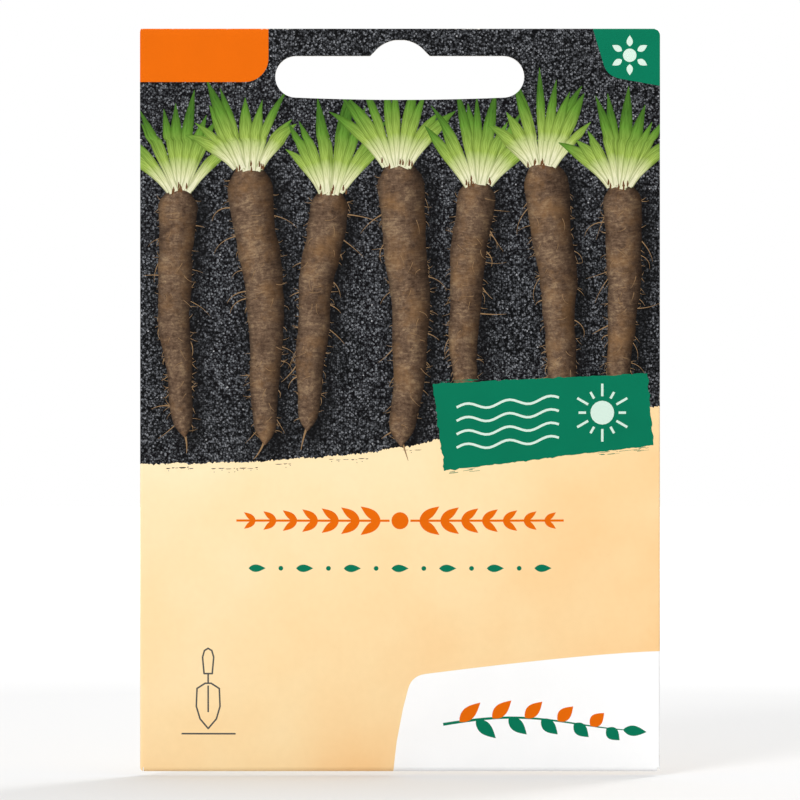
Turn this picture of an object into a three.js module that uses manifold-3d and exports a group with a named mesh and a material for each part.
// A retail seed packet: one sheet of printed paper, cut flat, punched, folded and glued into a bag
// that hangs by a slot in its header, with loose seeds in its pocket.
// Millimetres. The packet hangs upright: +X is to the right of its front, +Y is its back, +Z is up.
// The origin is where a shop peg bears, at the top of the hanging slot, in the middle of the front ply.
import * as THREE from "three";
import { mergeVertices } from "three/addons/utils/BufferGeometryUtils.js";
import Module from "manifold-3d";

const wasm = await Module();
wasm.setup();

// The packet from outside.
const PACKET_WIDTH = 70;
const PACKET_HEIGHT = 100;
const CORNER_RADIUS = 0.3;

// The sheet. A hairline gap stands for the glue between two plies.
const PAPER = 0.2;
const GLUE_GAP = 0.1;
const PLY = PAPER + GLUE_GAP;
const FOLD_STEPS = 4;
const CORNER_STEPS = 4;
const CELL = 5;
const HEADER_CELL = 7;

// The hanging slot: a long hole with round ends, a low bow below and an arch for the peg above.
const SLOT_BELOW_TOP = 1.55;
const SLOT_LENGTH = 33.2;
const SLOT_HEIGHT = 5.6;
const SLOT_BOW = 0.3;
const ARCH_RISE = 2.15;
const ARCH_RADIUS = 4.4;
const ARCH_FILLET = 0.6;
const PEG_FLAT = 1.2;
const SLOT_END_STEPS = 8;
const BOW_STEPS = 5;
const ARCH_STEPS = 5;

// The panels and flaps of the sheet.
const BACK_PANEL_BELOW_TOP = 15;
const BACK_PANEL_ABOVE_FOOT = 0.6;
const BACK_EDGE_FROM_SIDE = 1;
const SIDE_TAB_WIDTH = 11;
const SIDE_TAB_TAPER = 3;
const FOOT_FLAP_HEIGHT = 12;
const FOOT_FLAP_TAPER = 4;
const TOP_FLAP_HEIGHT = 24;
const TOP_FLAP_ROUND = 2.5;
const FLAP_STEP_LENGTH = 2.5;
const FLAP_STEP_MARGIN = 0.5;
const FLAP_STEP_CELLS = 3;
const HEADER_FLARE_LENGTH = 0.3;
const CORNER_RAMP = 0.1;

// At the foot each side fold is cut round, clear of the foot flap. These are the heights of the cut
// over the packet's foot at the fold's start, a quarter of the way round it and at its crest.
const FOOT_CORNER = [0.05, 0.2, 0.5];
const FOOT_SLIT = 0.02;

// How far the filled pocket bulges, at its fullest.
const FRONT_BULGE = 1.9;
const BACK_BULGE = 1.5;
const BULGE_SIDE_POWER = 1.15;
const BULGE_HEIGHT_POWER = 0.78;

// The seeds: slender, tapered at both ends and a little bent. The profile gives each ring's place,
// as a share of the length, and its share of the radius.
const SEED_LENGTH = 13;
const SEED_RADIUS = 0.62;
const SEED_BEND = 0.5;
const SEED_SIDES = 5;
const SEED_PROFILE = [
  [-0.5, 0],
  [-0.36, 0.62],
  [-0.05, 1],
  [0.32, 0.86],
  [0.5, 0],
];

// The heap. Multiples of a spread step, less their whole parts, fill 0 to 1 evenly.
const SEED_COUNT = 44;
const SEED_TRIES = 40 * SEED_COUNT;
const SEED_CLEARANCE = 0.3;
const HEAP_HALF_WIDTH = 25;
const HEAP_FOOT = 5;
const HEAP_HEIGHT = 30;
const HEAP_TILT = 0.95;
const SPREAD_ACROSS = 0.7548776662;
const SPREAD_UP = 0.5698402911;
const SPREAD_TILT = 0.6180339887;
const SPREAD_DEPTH = 0.3247179572;

// Edges of the packet and the lines where the folds start, in the sheet's own flat coordinates.
// u runs across and v up. On the front panel they are x and z.
const TOP = SLOT_BELOW_TOP;
const FOOT = TOP - PACKET_HEIGHT;
const SIDE = PACKET_WIDTH / 2;
const HALF_PAPER = PAPER / 2;

// A point this near to a fold's line lies on it.
const ON_LINE = 1e-6;

const LEFT_FOLD_RADIUS = PLY;
const RIGHT_FOLD_RADIUS = PLY / 2;
const FOOT_FOLD_RADIUS = (3 * PLY) / 2;
const TOP_FOLD_RADIUS = PLY / 2;

const LEFT_FOLD = -(SIDE - HALF_PAPER - LEFT_FOLD_RADIUS);
const RIGHT_FOLD = SIDE - HALF_PAPER - RIGHT_FOLD_RADIUS;
const FOOT_FOLD = FOOT + HALF_PAPER + FOOT_FOLD_RADIUS;
const TOP_FOLD = TOP - HALF_PAPER - TOP_FOLD_RADIUS;

const LEFT_FOLD_LENGTH = Math.PI * LEFT_FOLD_RADIUS;
const RIGHT_FOLD_LENGTH = Math.PI * RIGHT_FOLD_RADIUS;
const FOOT_FOLD_LENGTH = Math.PI * FOOT_FOLD_RADIUS;
const TOP_FOLD_LENGTH = Math.PI * TOP_FOLD_RADIUS;

const BACK_TOP = TOP - BACK_PANEL_BELOW_TOP;
const BACK_FOOT = FOOT + BACK_PANEL_ABOVE_FOOT;
const FOOT_FLAP_LEFT = LEFT_FOLD + GLUE_GAP;
const FOOT_FLAP_RIGHT = RIGHT_FOLD - GLUE_GAP;
const TOP_FLAP_EDGE = -LEFT_FOLD - CORNER_RADIUS;

// The far edges of the panels that fold over.
const BACK_PANEL_END = LEFT_FOLD - LEFT_FOLD_LENGTH - (SIDE - BACK_EDGE_FROM_SIDE - LEFT_FOLD);
const SIDE_TAB_END = RIGHT_FOLD + RIGHT_FOLD_LENGTH + SIDE_TAB_WIDTH;
const FOOT_FLAP_END = FOOT_FOLD - FOOT_FOLD_LENGTH - FOOT_FLAP_HEIGHT;
const TOP_FLAP_END = TOP_FOLD + TOP_FOLD_LENGTH + TOP_FLAP_HEIGHT;

// Points on an arc, both ends included.
function arc(centreU, centreV, radius, from, to, steps) {
  return Array.from({ length: steps + 1 }, (_, i) => {
    const angle = from + ((to - from) * i) / steps;
    return new THREE.Vector2(centreU + radius * Math.cos(angle), centreV + radius * Math.sin(angle));
  });
}

// The slot's outline, clockwise from the foot of its left end.
function slotOutline() {
  const endRadius = SLOT_HEIGHT / 2;
  const endU = SLOT_LENGTH / 2 - endRadius;
  const shoulder = -ARCH_RISE;
  const middle = shoulder - endRadius;
  const archCentre = -Math.sqrt(ARCH_RADIUS ** 2 - (PEG_FLAT / 2) ** 2);
  const flatAngle = Math.asin(PEG_FLAT / 2 / ARCH_RADIUS);
  const footAngle = Math.acos((shoulder + ARCH_FILLET - archCentre) / ARCH_RADIUS);
  const archFoot = ARCH_RADIUS * Math.sin(footAngle);
  const up = Math.PI / 2;
  const leftArch = arc(0, archCentre, ARCH_RADIUS, up + footAngle, up + flatAngle, ARCH_STEPS);
  const rightArch = leftArch.map((p) => new THREE.Vector2(-p.x, p.y)).reverse();
  const bow = Array.from({ length: BOW_STEPS - 1 }, (_, i) => {
    const part = 1 - (2 * (i + 1)) / BOW_STEPS;
    return new THREE.Vector2(endU * part, middle - endRadius - SLOT_BOW * (1 - part * part));
  });
  return [
    ...arc(-endU, middle, endRadius, 3 * up, up, SLOT_END_STEPS),
    new THREE.Vector2(-archFoot - ARCH_FILLET, shoulder),
    ...leftArch,
    ...rightArch,
    new THREE.Vector2(archFoot + ARCH_FILLET, shoulder),
    ...arc(endU, middle, endRadius, up, -up, SLOT_END_STEPS),
    ...bow,
  ];
}

// Rounded upper corners, each given by where its sharp corner would be.
function rightCorner(u, v, radius) {
  return arc(u - radius, v - radius, radius, 0, Math.PI / 2, CORNER_STEPS);
}

function leftCorner(u, v, radius) {
  return arc(u + radius, v - radius, radius, Math.PI / 2, Math.PI, CORNER_STEPS);
}

// The round lower end of a side fold, from the front panel to the fold's crest.
function footCorner(foldStart, foldLength) {
  const slit = Math.sign(foldLength) * FOOT_SLIT;
  return [
    new THREE.Vector2(foldStart, FOOT_FOLD),
    new THREE.Vector2(foldStart + slit, FOOT_FOLD - FOOT_SLIT),
    new THREE.Vector2(foldStart + slit, FOOT + FOOT_CORNER[0]),
    new THREE.Vector2(foldStart + foldLength / 4, FOOT + FOOT_CORNER[1]),
    new THREE.Vector2(foldStart + foldLength / 2, FOOT + FOOT_CORNER[2]),
  ];
}

// The die-cut outline of the flat sheet, anticlockwise from the front panel's lower left corner.
function sheetOutline() {
  const point = (u, v) => new THREE.Vector2(u, v);
  return [
    point(FOOT_FLAP_LEFT, FOOT_FOLD),
    point(FOOT_FLAP_LEFT, FOOT_FOLD - FOOT_FOLD_LENGTH),
    point(FOOT_FLAP_LEFT + FOOT_FLAP_TAPER, FOOT_FLAP_END),
    point(FOOT_FLAP_RIGHT - FOOT_FLAP_TAPER, FOOT_FLAP_END),
    point(FOOT_FLAP_RIGHT, FOOT_FOLD - FOOT_FOLD_LENGTH),
    point(FOOT_FLAP_RIGHT, FOOT_FOLD),
    ...footCorner(RIGHT_FOLD, RIGHT_FOLD_LENGTH),
    point(RIGHT_FOLD + RIGHT_FOLD_LENGTH, BACK_FOOT),
    point(SIDE_TAB_END, BACK_FOOT + SIDE_TAB_TAPER),
    point(SIDE_TAB_END, BACK_TOP - SIDE_TAB_TAPER),
    point(RIGHT_FOLD + RIGHT_FOLD_LENGTH, BACK_TOP),
    point(RIGHT_FOLD, BACK_TOP),
    ...rightCorner(RIGHT_FOLD, TOP_FOLD, CORNER_RADIUS),
    point(TOP_FLAP_EDGE, TOP_FOLD),
    point(TOP_FLAP_EDGE, TOP_FOLD + TOP_FOLD_LENGTH),
    ...rightCorner(TOP_FLAP_EDGE, TOP_FLAP_END, TOP_FLAP_ROUND),
    ...leftCorner(-TOP_FLAP_EDGE, TOP_FLAP_END, TOP_FLAP_ROUND),
    point(-TOP_FLAP_EDGE, TOP_FOLD + TOP_FOLD_LENGTH),
    ...leftCorner(LEFT_FOLD, TOP_FOLD, CORNER_RADIUS),
    point(LEFT_FOLD, BACK_TOP),
    point(LEFT_FOLD - LEFT_FOLD_LENGTH, BACK_TOP),
    point(BACK_PANEL_END, BACK_TOP),
    point(BACK_PANEL_END, BACK_FOOT),
    point(LEFT_FOLD - LEFT_FOLD_LENGTH, BACK_FOOT),
    ...footCorner(LEFT_FOLD, -LEFT_FOLD_LENGTH).reverse(),
  ];
}

// A slot hole mirrored about the top fold lands on the first one once the flap is folded down.
function flapSlot(outline) {
  const mirror = 2 * TOP_FOLD + TOP_FOLD_LENGTH;
  return outline.map((p) => new THREE.Vector2(p.x, mirror - p.y)).reverse();
}

// Evenly spaced lines from one place to the next, without the last one.
function evenly(from, to, steps) {
  return Array.from({ length: steps }, (_, i) => from + ((to - from) * i) / steps);
}

// The same, no further apart than a given width.
function cells(from, to, widest) {
  return evenly(from, to, Math.max(1, Math.ceil((to - from) / widest)));
}

// The lines of the sheet's grid: close together on the folds, wider on the panels.
function gridAcross() {
  return [
    ...cells(BACK_PANEL_END, LEFT_FOLD - LEFT_FOLD_LENGTH, CELL),
    ...evenly(LEFT_FOLD - LEFT_FOLD_LENGTH, LEFT_FOLD, FOLD_STEPS),
    LEFT_FOLD,
    -TOP_FLAP_EDGE - CORNER_RAMP,
    ...cells(-TOP_FLAP_EDGE, TOP_FLAP_EDGE, CELL),
    TOP_FLAP_EDGE,
    TOP_FLAP_EDGE + CORNER_RAMP,
    ...evenly(RIGHT_FOLD, RIGHT_FOLD + RIGHT_FOLD_LENGTH, FOLD_STEPS),
    ...cells(RIGHT_FOLD + RIGHT_FOLD_LENGTH, SIDE_TAB_END, CELL),
    SIDE_TAB_END,
  ];
}

function gridUp() {
  const stepLow = BACK_TOP + FLAP_STEP_MARGIN;
  const stepHigh = stepLow + FLAP_STEP_LENGTH;
  const onFlap = (v) => 2 * TOP_FOLD + TOP_FOLD_LENGTH - v;
  return [
    ...cells(FOOT_FLAP_END, FOOT_FOLD - FOOT_FOLD_LENGTH, CELL),
    ...evenly(FOOT_FOLD - FOOT_FOLD_LENGTH, FOOT_FOLD, FOLD_STEPS),
    ...cells(FOOT_FOLD, BACK_FOOT, CELL),
    ...cells(BACK_FOOT, BACK_TOP, CELL),
    ...cells(BACK_TOP, BACK_TOP + HEADER_FLARE_LENGTH, CELL),
    ...cells(BACK_TOP + HEADER_FLARE_LENGTH, TOP_FOLD, HEADER_CELL),
    ...evenly(TOP_FOLD, TOP_FOLD + TOP_FOLD_LENGTH, FOLD_STEPS),
    ...cells(TOP_FOLD + TOP_FOLD_LENGTH, onFlap(stepHigh), HEADER_CELL),
    ...evenly(onFlap(stepHigh), onFlap(stepLow), FLAP_STEP_CELLS),
    ...cells(onFlap(stepLow), TOP_FLAP_END, CELL),
    TOP_FLAP_END,
  ];
}

// A flat plate whose faces are split along the grid's lines. Its third coordinate runs through the
// sheet, towards the printed side.
function gridPlate(across, up) {
  const columns = across.length - 1;
  const rows = up.length - 1;
  const plate = new THREE.BoxGeometry(columns, rows, PAPER, columns, rows, 1);
  const at = plate.attributes.position;
  for (let i = 0; i < at.count; i++) {
    at.setX(i, across[Math.round(at.getX(i) + columns / 2)]);
    at.setY(i, up[Math.round(at.getY(i) + rows / 2)]);
  }
  return plate;
}

// A closed geometry as a solid. With its faces kept, flat neighbours aren't merged by a cut.
function toSolid(geometry, keepFaces = false) {
  const bare = new THREE.BufferGeometry();
  bare.setAttribute("position", geometry.getAttribute("position"));
  bare.setIndex(geometry.getIndex());
  const merged = mergeVertices(bare, 1e-4);
  const options = {
    numProp: 3,
    vertProperties: new Float32Array(merged.attributes.position.array),
    triVerts: new Uint32Array(merged.index.array),
  };
  if (keepFaces) options.faceID = Uint32Array.from({ length: merged.index.count / 3 }, (_, i) => i);
  return new wasm.Manifold(new wasm.Mesh(options));
}

function toGeometry(solid) {
  const mesh = solid.getMesh();
  const geometry = new THREE.BufferGeometry();
  geometry.setAttribute("position", new THREE.BufferAttribute(mesh.vertProperties, 3));
  geometry.setIndex(new THREE.BufferAttribute(mesh.triVerts, 1));
  return geometry;
}

// A tall prism through the whole sheet.
function punch(outline) {
  const height = 10 * PAPER;
  const prism = new THREE.ExtrudeGeometry(new THREE.Shape(outline), { depth: height, bevelEnabled: false });
  return toSolid(prism.translate(0, 0, -height / 2));
}

// How full the pocket is at a place, from 0 at its edges to 1.
function fullness(x, z) {
  const across = THREE.MathUtils.clamp(x / (SIDE - LEFT_FOLD_RADIUS - PAPER), -1, 1);
  const up = THREE.MathUtils.clamp((z - FOOT) / (BACK_TOP - FOOT), 0, 1);
  const sideways = Math.cos((across * Math.PI) / 2) ** BULGE_SIDE_POWER;
  return sideways * Math.sin(Math.PI * up ** BULGE_HEIGHT_POWER);
}

// Above the back panel the front ply alone makes the packet's edge, out to its full width, and the
// top flap is as much wider.
function flare(u, v) {
  const grown = THREE.MathUtils.smoothstep(v, BACK_TOP, BACK_TOP + HEADER_FLARE_LENGTH);
  const edge = u < 0 ? -LEFT_FOLD : RIGHT_FOLD;
  return u * (1 + grown * (SIDE / edge - 1));
}

// Beside the top fold the front ply alone makes the packet's corners, up to its full height.
function raise(u, v) {
  const beside = THREE.MathUtils.smoothstep(Math.abs(u), TOP_FLAP_EDGE, TOP_FLAP_EDGE + CORNER_RAMP);
  return v + (TOP - TOP_FOLD) * beside * THREE.MathUtils.smoothstep(v, TOP_FOLD - CORNER_RADIUS, TOP_FOLD);
}

// How far behind the front ply the top flap lies: right behind it in the header, then over three plies.
function flapDepth(z) {
  const low = BACK_TOP + FLAP_STEP_MARGIN;
  return PLY * (3 - 2 * THREE.MathUtils.smoothstep(z, low, low + FLAP_STEP_LENGTH));
}

// Bends a point of the flat sheet round one fold. past is how far it lies beyond the fold's start,
// out is its height over the sheet's middle. Gives how far it reaches past the fold's start and how
// deep behind the front ply it lands, measured the same way.
function bend(past, out, radius) {
  const length = Math.PI * radius;
  if (past >= length) return { reach: length - past, depth: 2 * radius + out };
  const angle = past / radius;
  return {
    reach: (radius + out) * Math.sin(angle),
    depth: radius - (radius + out) * Math.cos(angle),
  };
}

// Folds a point of the flat sheet to its place on the packet.
function fold(u, v, out) {
  if (u < LEFT_FOLD - ON_LINE && v < BACK_TOP + ON_LINE) {
    const { reach, depth } = bend(LEFT_FOLD - u, out, LEFT_FOLD_RADIUS);
    const x = LEFT_FOLD - reach;
    return new THREE.Vector3(x, depth + BACK_BULGE * fullness(x, v), v);
  }
  if (u > RIGHT_FOLD + ON_LINE && v < BACK_TOP + ON_LINE) {
    const { reach, depth } = bend(u - RIGHT_FOLD, out, RIGHT_FOLD_RADIUS);
    const x = RIGHT_FOLD + reach;
    return new THREE.Vector3(x, depth + BACK_BULGE * fullness(x, v), v);
  }
  if (v < FOOT_FOLD - ON_LINE) {
    const { reach, depth } = bend(FOOT_FOLD - v, out, FOOT_FOLD_RADIUS);
    const z = FOOT_FOLD - reach;
    const bulge = z > FOOT_FOLD ? BACK_BULGE : 0;
    return new THREE.Vector3(u, depth + bulge * (fullness(u, z) - fullness(u, FOOT_FOLD)), z);
  }
  if (v > TOP_FOLD + ON_LINE) {
    const { reach, depth } = bend(v - TOP_FOLD, out, TOP_FOLD_RADIUS);
    const x = flare(u, v);
    const z = TOP_FOLD + reach;
    const stepped = z < TOP_FOLD ? flapDepth(z) - PLY : 0;
    return new THREE.Vector3(x, depth + stepped + BACK_BULGE * fullness(x, z), z);
  }
  return new THREE.Vector3(flare(u, v), -out - FRONT_BULGE * fullness(u, v), raise(u, v));
}

function packetPaper() {
  const slot = slotOutline();
  const flat = toSolid(gridPlate(gridAcross(), gridUp()), true)
    .intersect(punch(sheetOutline()))
    .subtract(punch(slot))
    .subtract(punch(flapSlot(slot)));
  const geometry = toGeometry(flat);
  const at = geometry.attributes.position;
  for (let i = 0; i < at.count; i++) {
    const place = fold(at.getX(i), at.getY(i), at.getZ(i));
    at.setXYZ(i, place.x, place.y, place.z);
  }
  return geometry;
}

// The pocket's inner walls at a place: the front ply in front and the side tab or back panel behind.
function pocketDepth(x, z) {
  const full = fullness(x, z);
  return {
    front: HALF_PAPER - FRONT_BULGE * full,
    back: PLY - HALF_PAPER + BACK_BULGE * full,
  };
}

// One seed along X, with its middle at the origin.
function seedGeometry() {
  const rings = SEED_PROFILE.map(
    ([place, width]) => new THREE.Vector2(width * SEED_RADIUS, place * SEED_LENGTH),
  );
  const seed = new THREE.LatheGeometry(rings, SEED_SIDES);
  seed.rotateZ(-Math.PI / 2);
  const at = seed.attributes.position;
  for (let i = 0; i < at.count; i++) {
    const along = at.getX(i) / (SEED_LENGTH / 2);
    at.setZ(i, at.getZ(i) + SEED_BEND * (1 - along * along));
  }
  return seed;
}

// Where the seeds lie: an even spread over the heap, each kept only where the pocket is deep enough.
function seedPlaces() {
  const places = [];
  const part = (i, step) => (0.5 + i * step) % 1;
  for (let i = 0; places.length < SEED_COUNT && i < SEED_TRIES; i++) {
    const x = HEAP_HALF_WIDTH * (2 * part(i, SPREAD_ACROSS) - 1);
    const z = FOOT + HEAP_FOOT + HEAP_HEIGHT * part(i, SPREAD_UP);
    const tilt = HEAP_TILT * (2 * part(i, SPREAD_TILT) - 1);
    const level = 2 * part(i, SPREAD_DEPTH) - 1;
    const walls = pocketDepth(x, z);
    const room = (walls.back - walls.front) / 2 - SEED_RADIUS - SEED_CLEARANCE;
    const y = (walls.front + walls.back) / 2 + level * Math.min(room, SEED_RADIUS);
    const clear = [-0.5, -0.25, 0, 0.25, 0.5].every((along) => {
      const endX = x + along * SEED_LENGTH * Math.cos(tilt);
      const endZ = z + along * SEED_LENGTH * Math.sin(tilt);
      const there = pocketDepth(endX, endZ);
      const thick = SEED_RADIUS * (1 - Math.abs(along)) + SEED_CLEARANCE;
      return y - thick > there.front && y + thick < there.back;
    });
    if (room > 0 && clear) places.push({ x, y, z, tilt });
  }
  return places;
}

// The heap as one body: each seed is joined to the ones that it crosses.
function seedHeap() {
  const turned = new THREE.Matrix4();
  const solids = seedPlaces().map(({ x, y, z, tilt }) => {
    turned.makeRotationY(-tilt).setPosition(x, y, z);
    return toSolid(seedGeometry().applyMatrix4(turned));
  });
  const heap = wasm.Manifold.union(solids);
  const bodies = heap.decompose().sort((a, b) => b.volume() - a.volume());
  return toGeometry(bodies[0]);
}

// Each triangle keeps its own corners, so that folds and cut edges shade sharply.
function piece(name, geometry, material) {
  const shaded = geometry.toNonIndexed();
  shaded.computeVertexNormals();
  const mesh = new THREE.Mesh(shaded, material);
  mesh.name = name;
  return mesh;
}

const printedPaper = new THREE.MeshStandardMaterial({ color: 0xfde0ae, roughness: 0.55, metalness: 0 });
const seedHusk = new THREE.MeshStandardMaterial({ color: 0xc9b183, roughness: 0.8, metalness: 0 });

const seedPacket = new THREE.Group();
seedPacket.add(piece("packet_paper", packetPaper(), printedPaper));
seedPacket.add(piece("seeds", seedHeap(), seedHusk));

export default seedPacket;
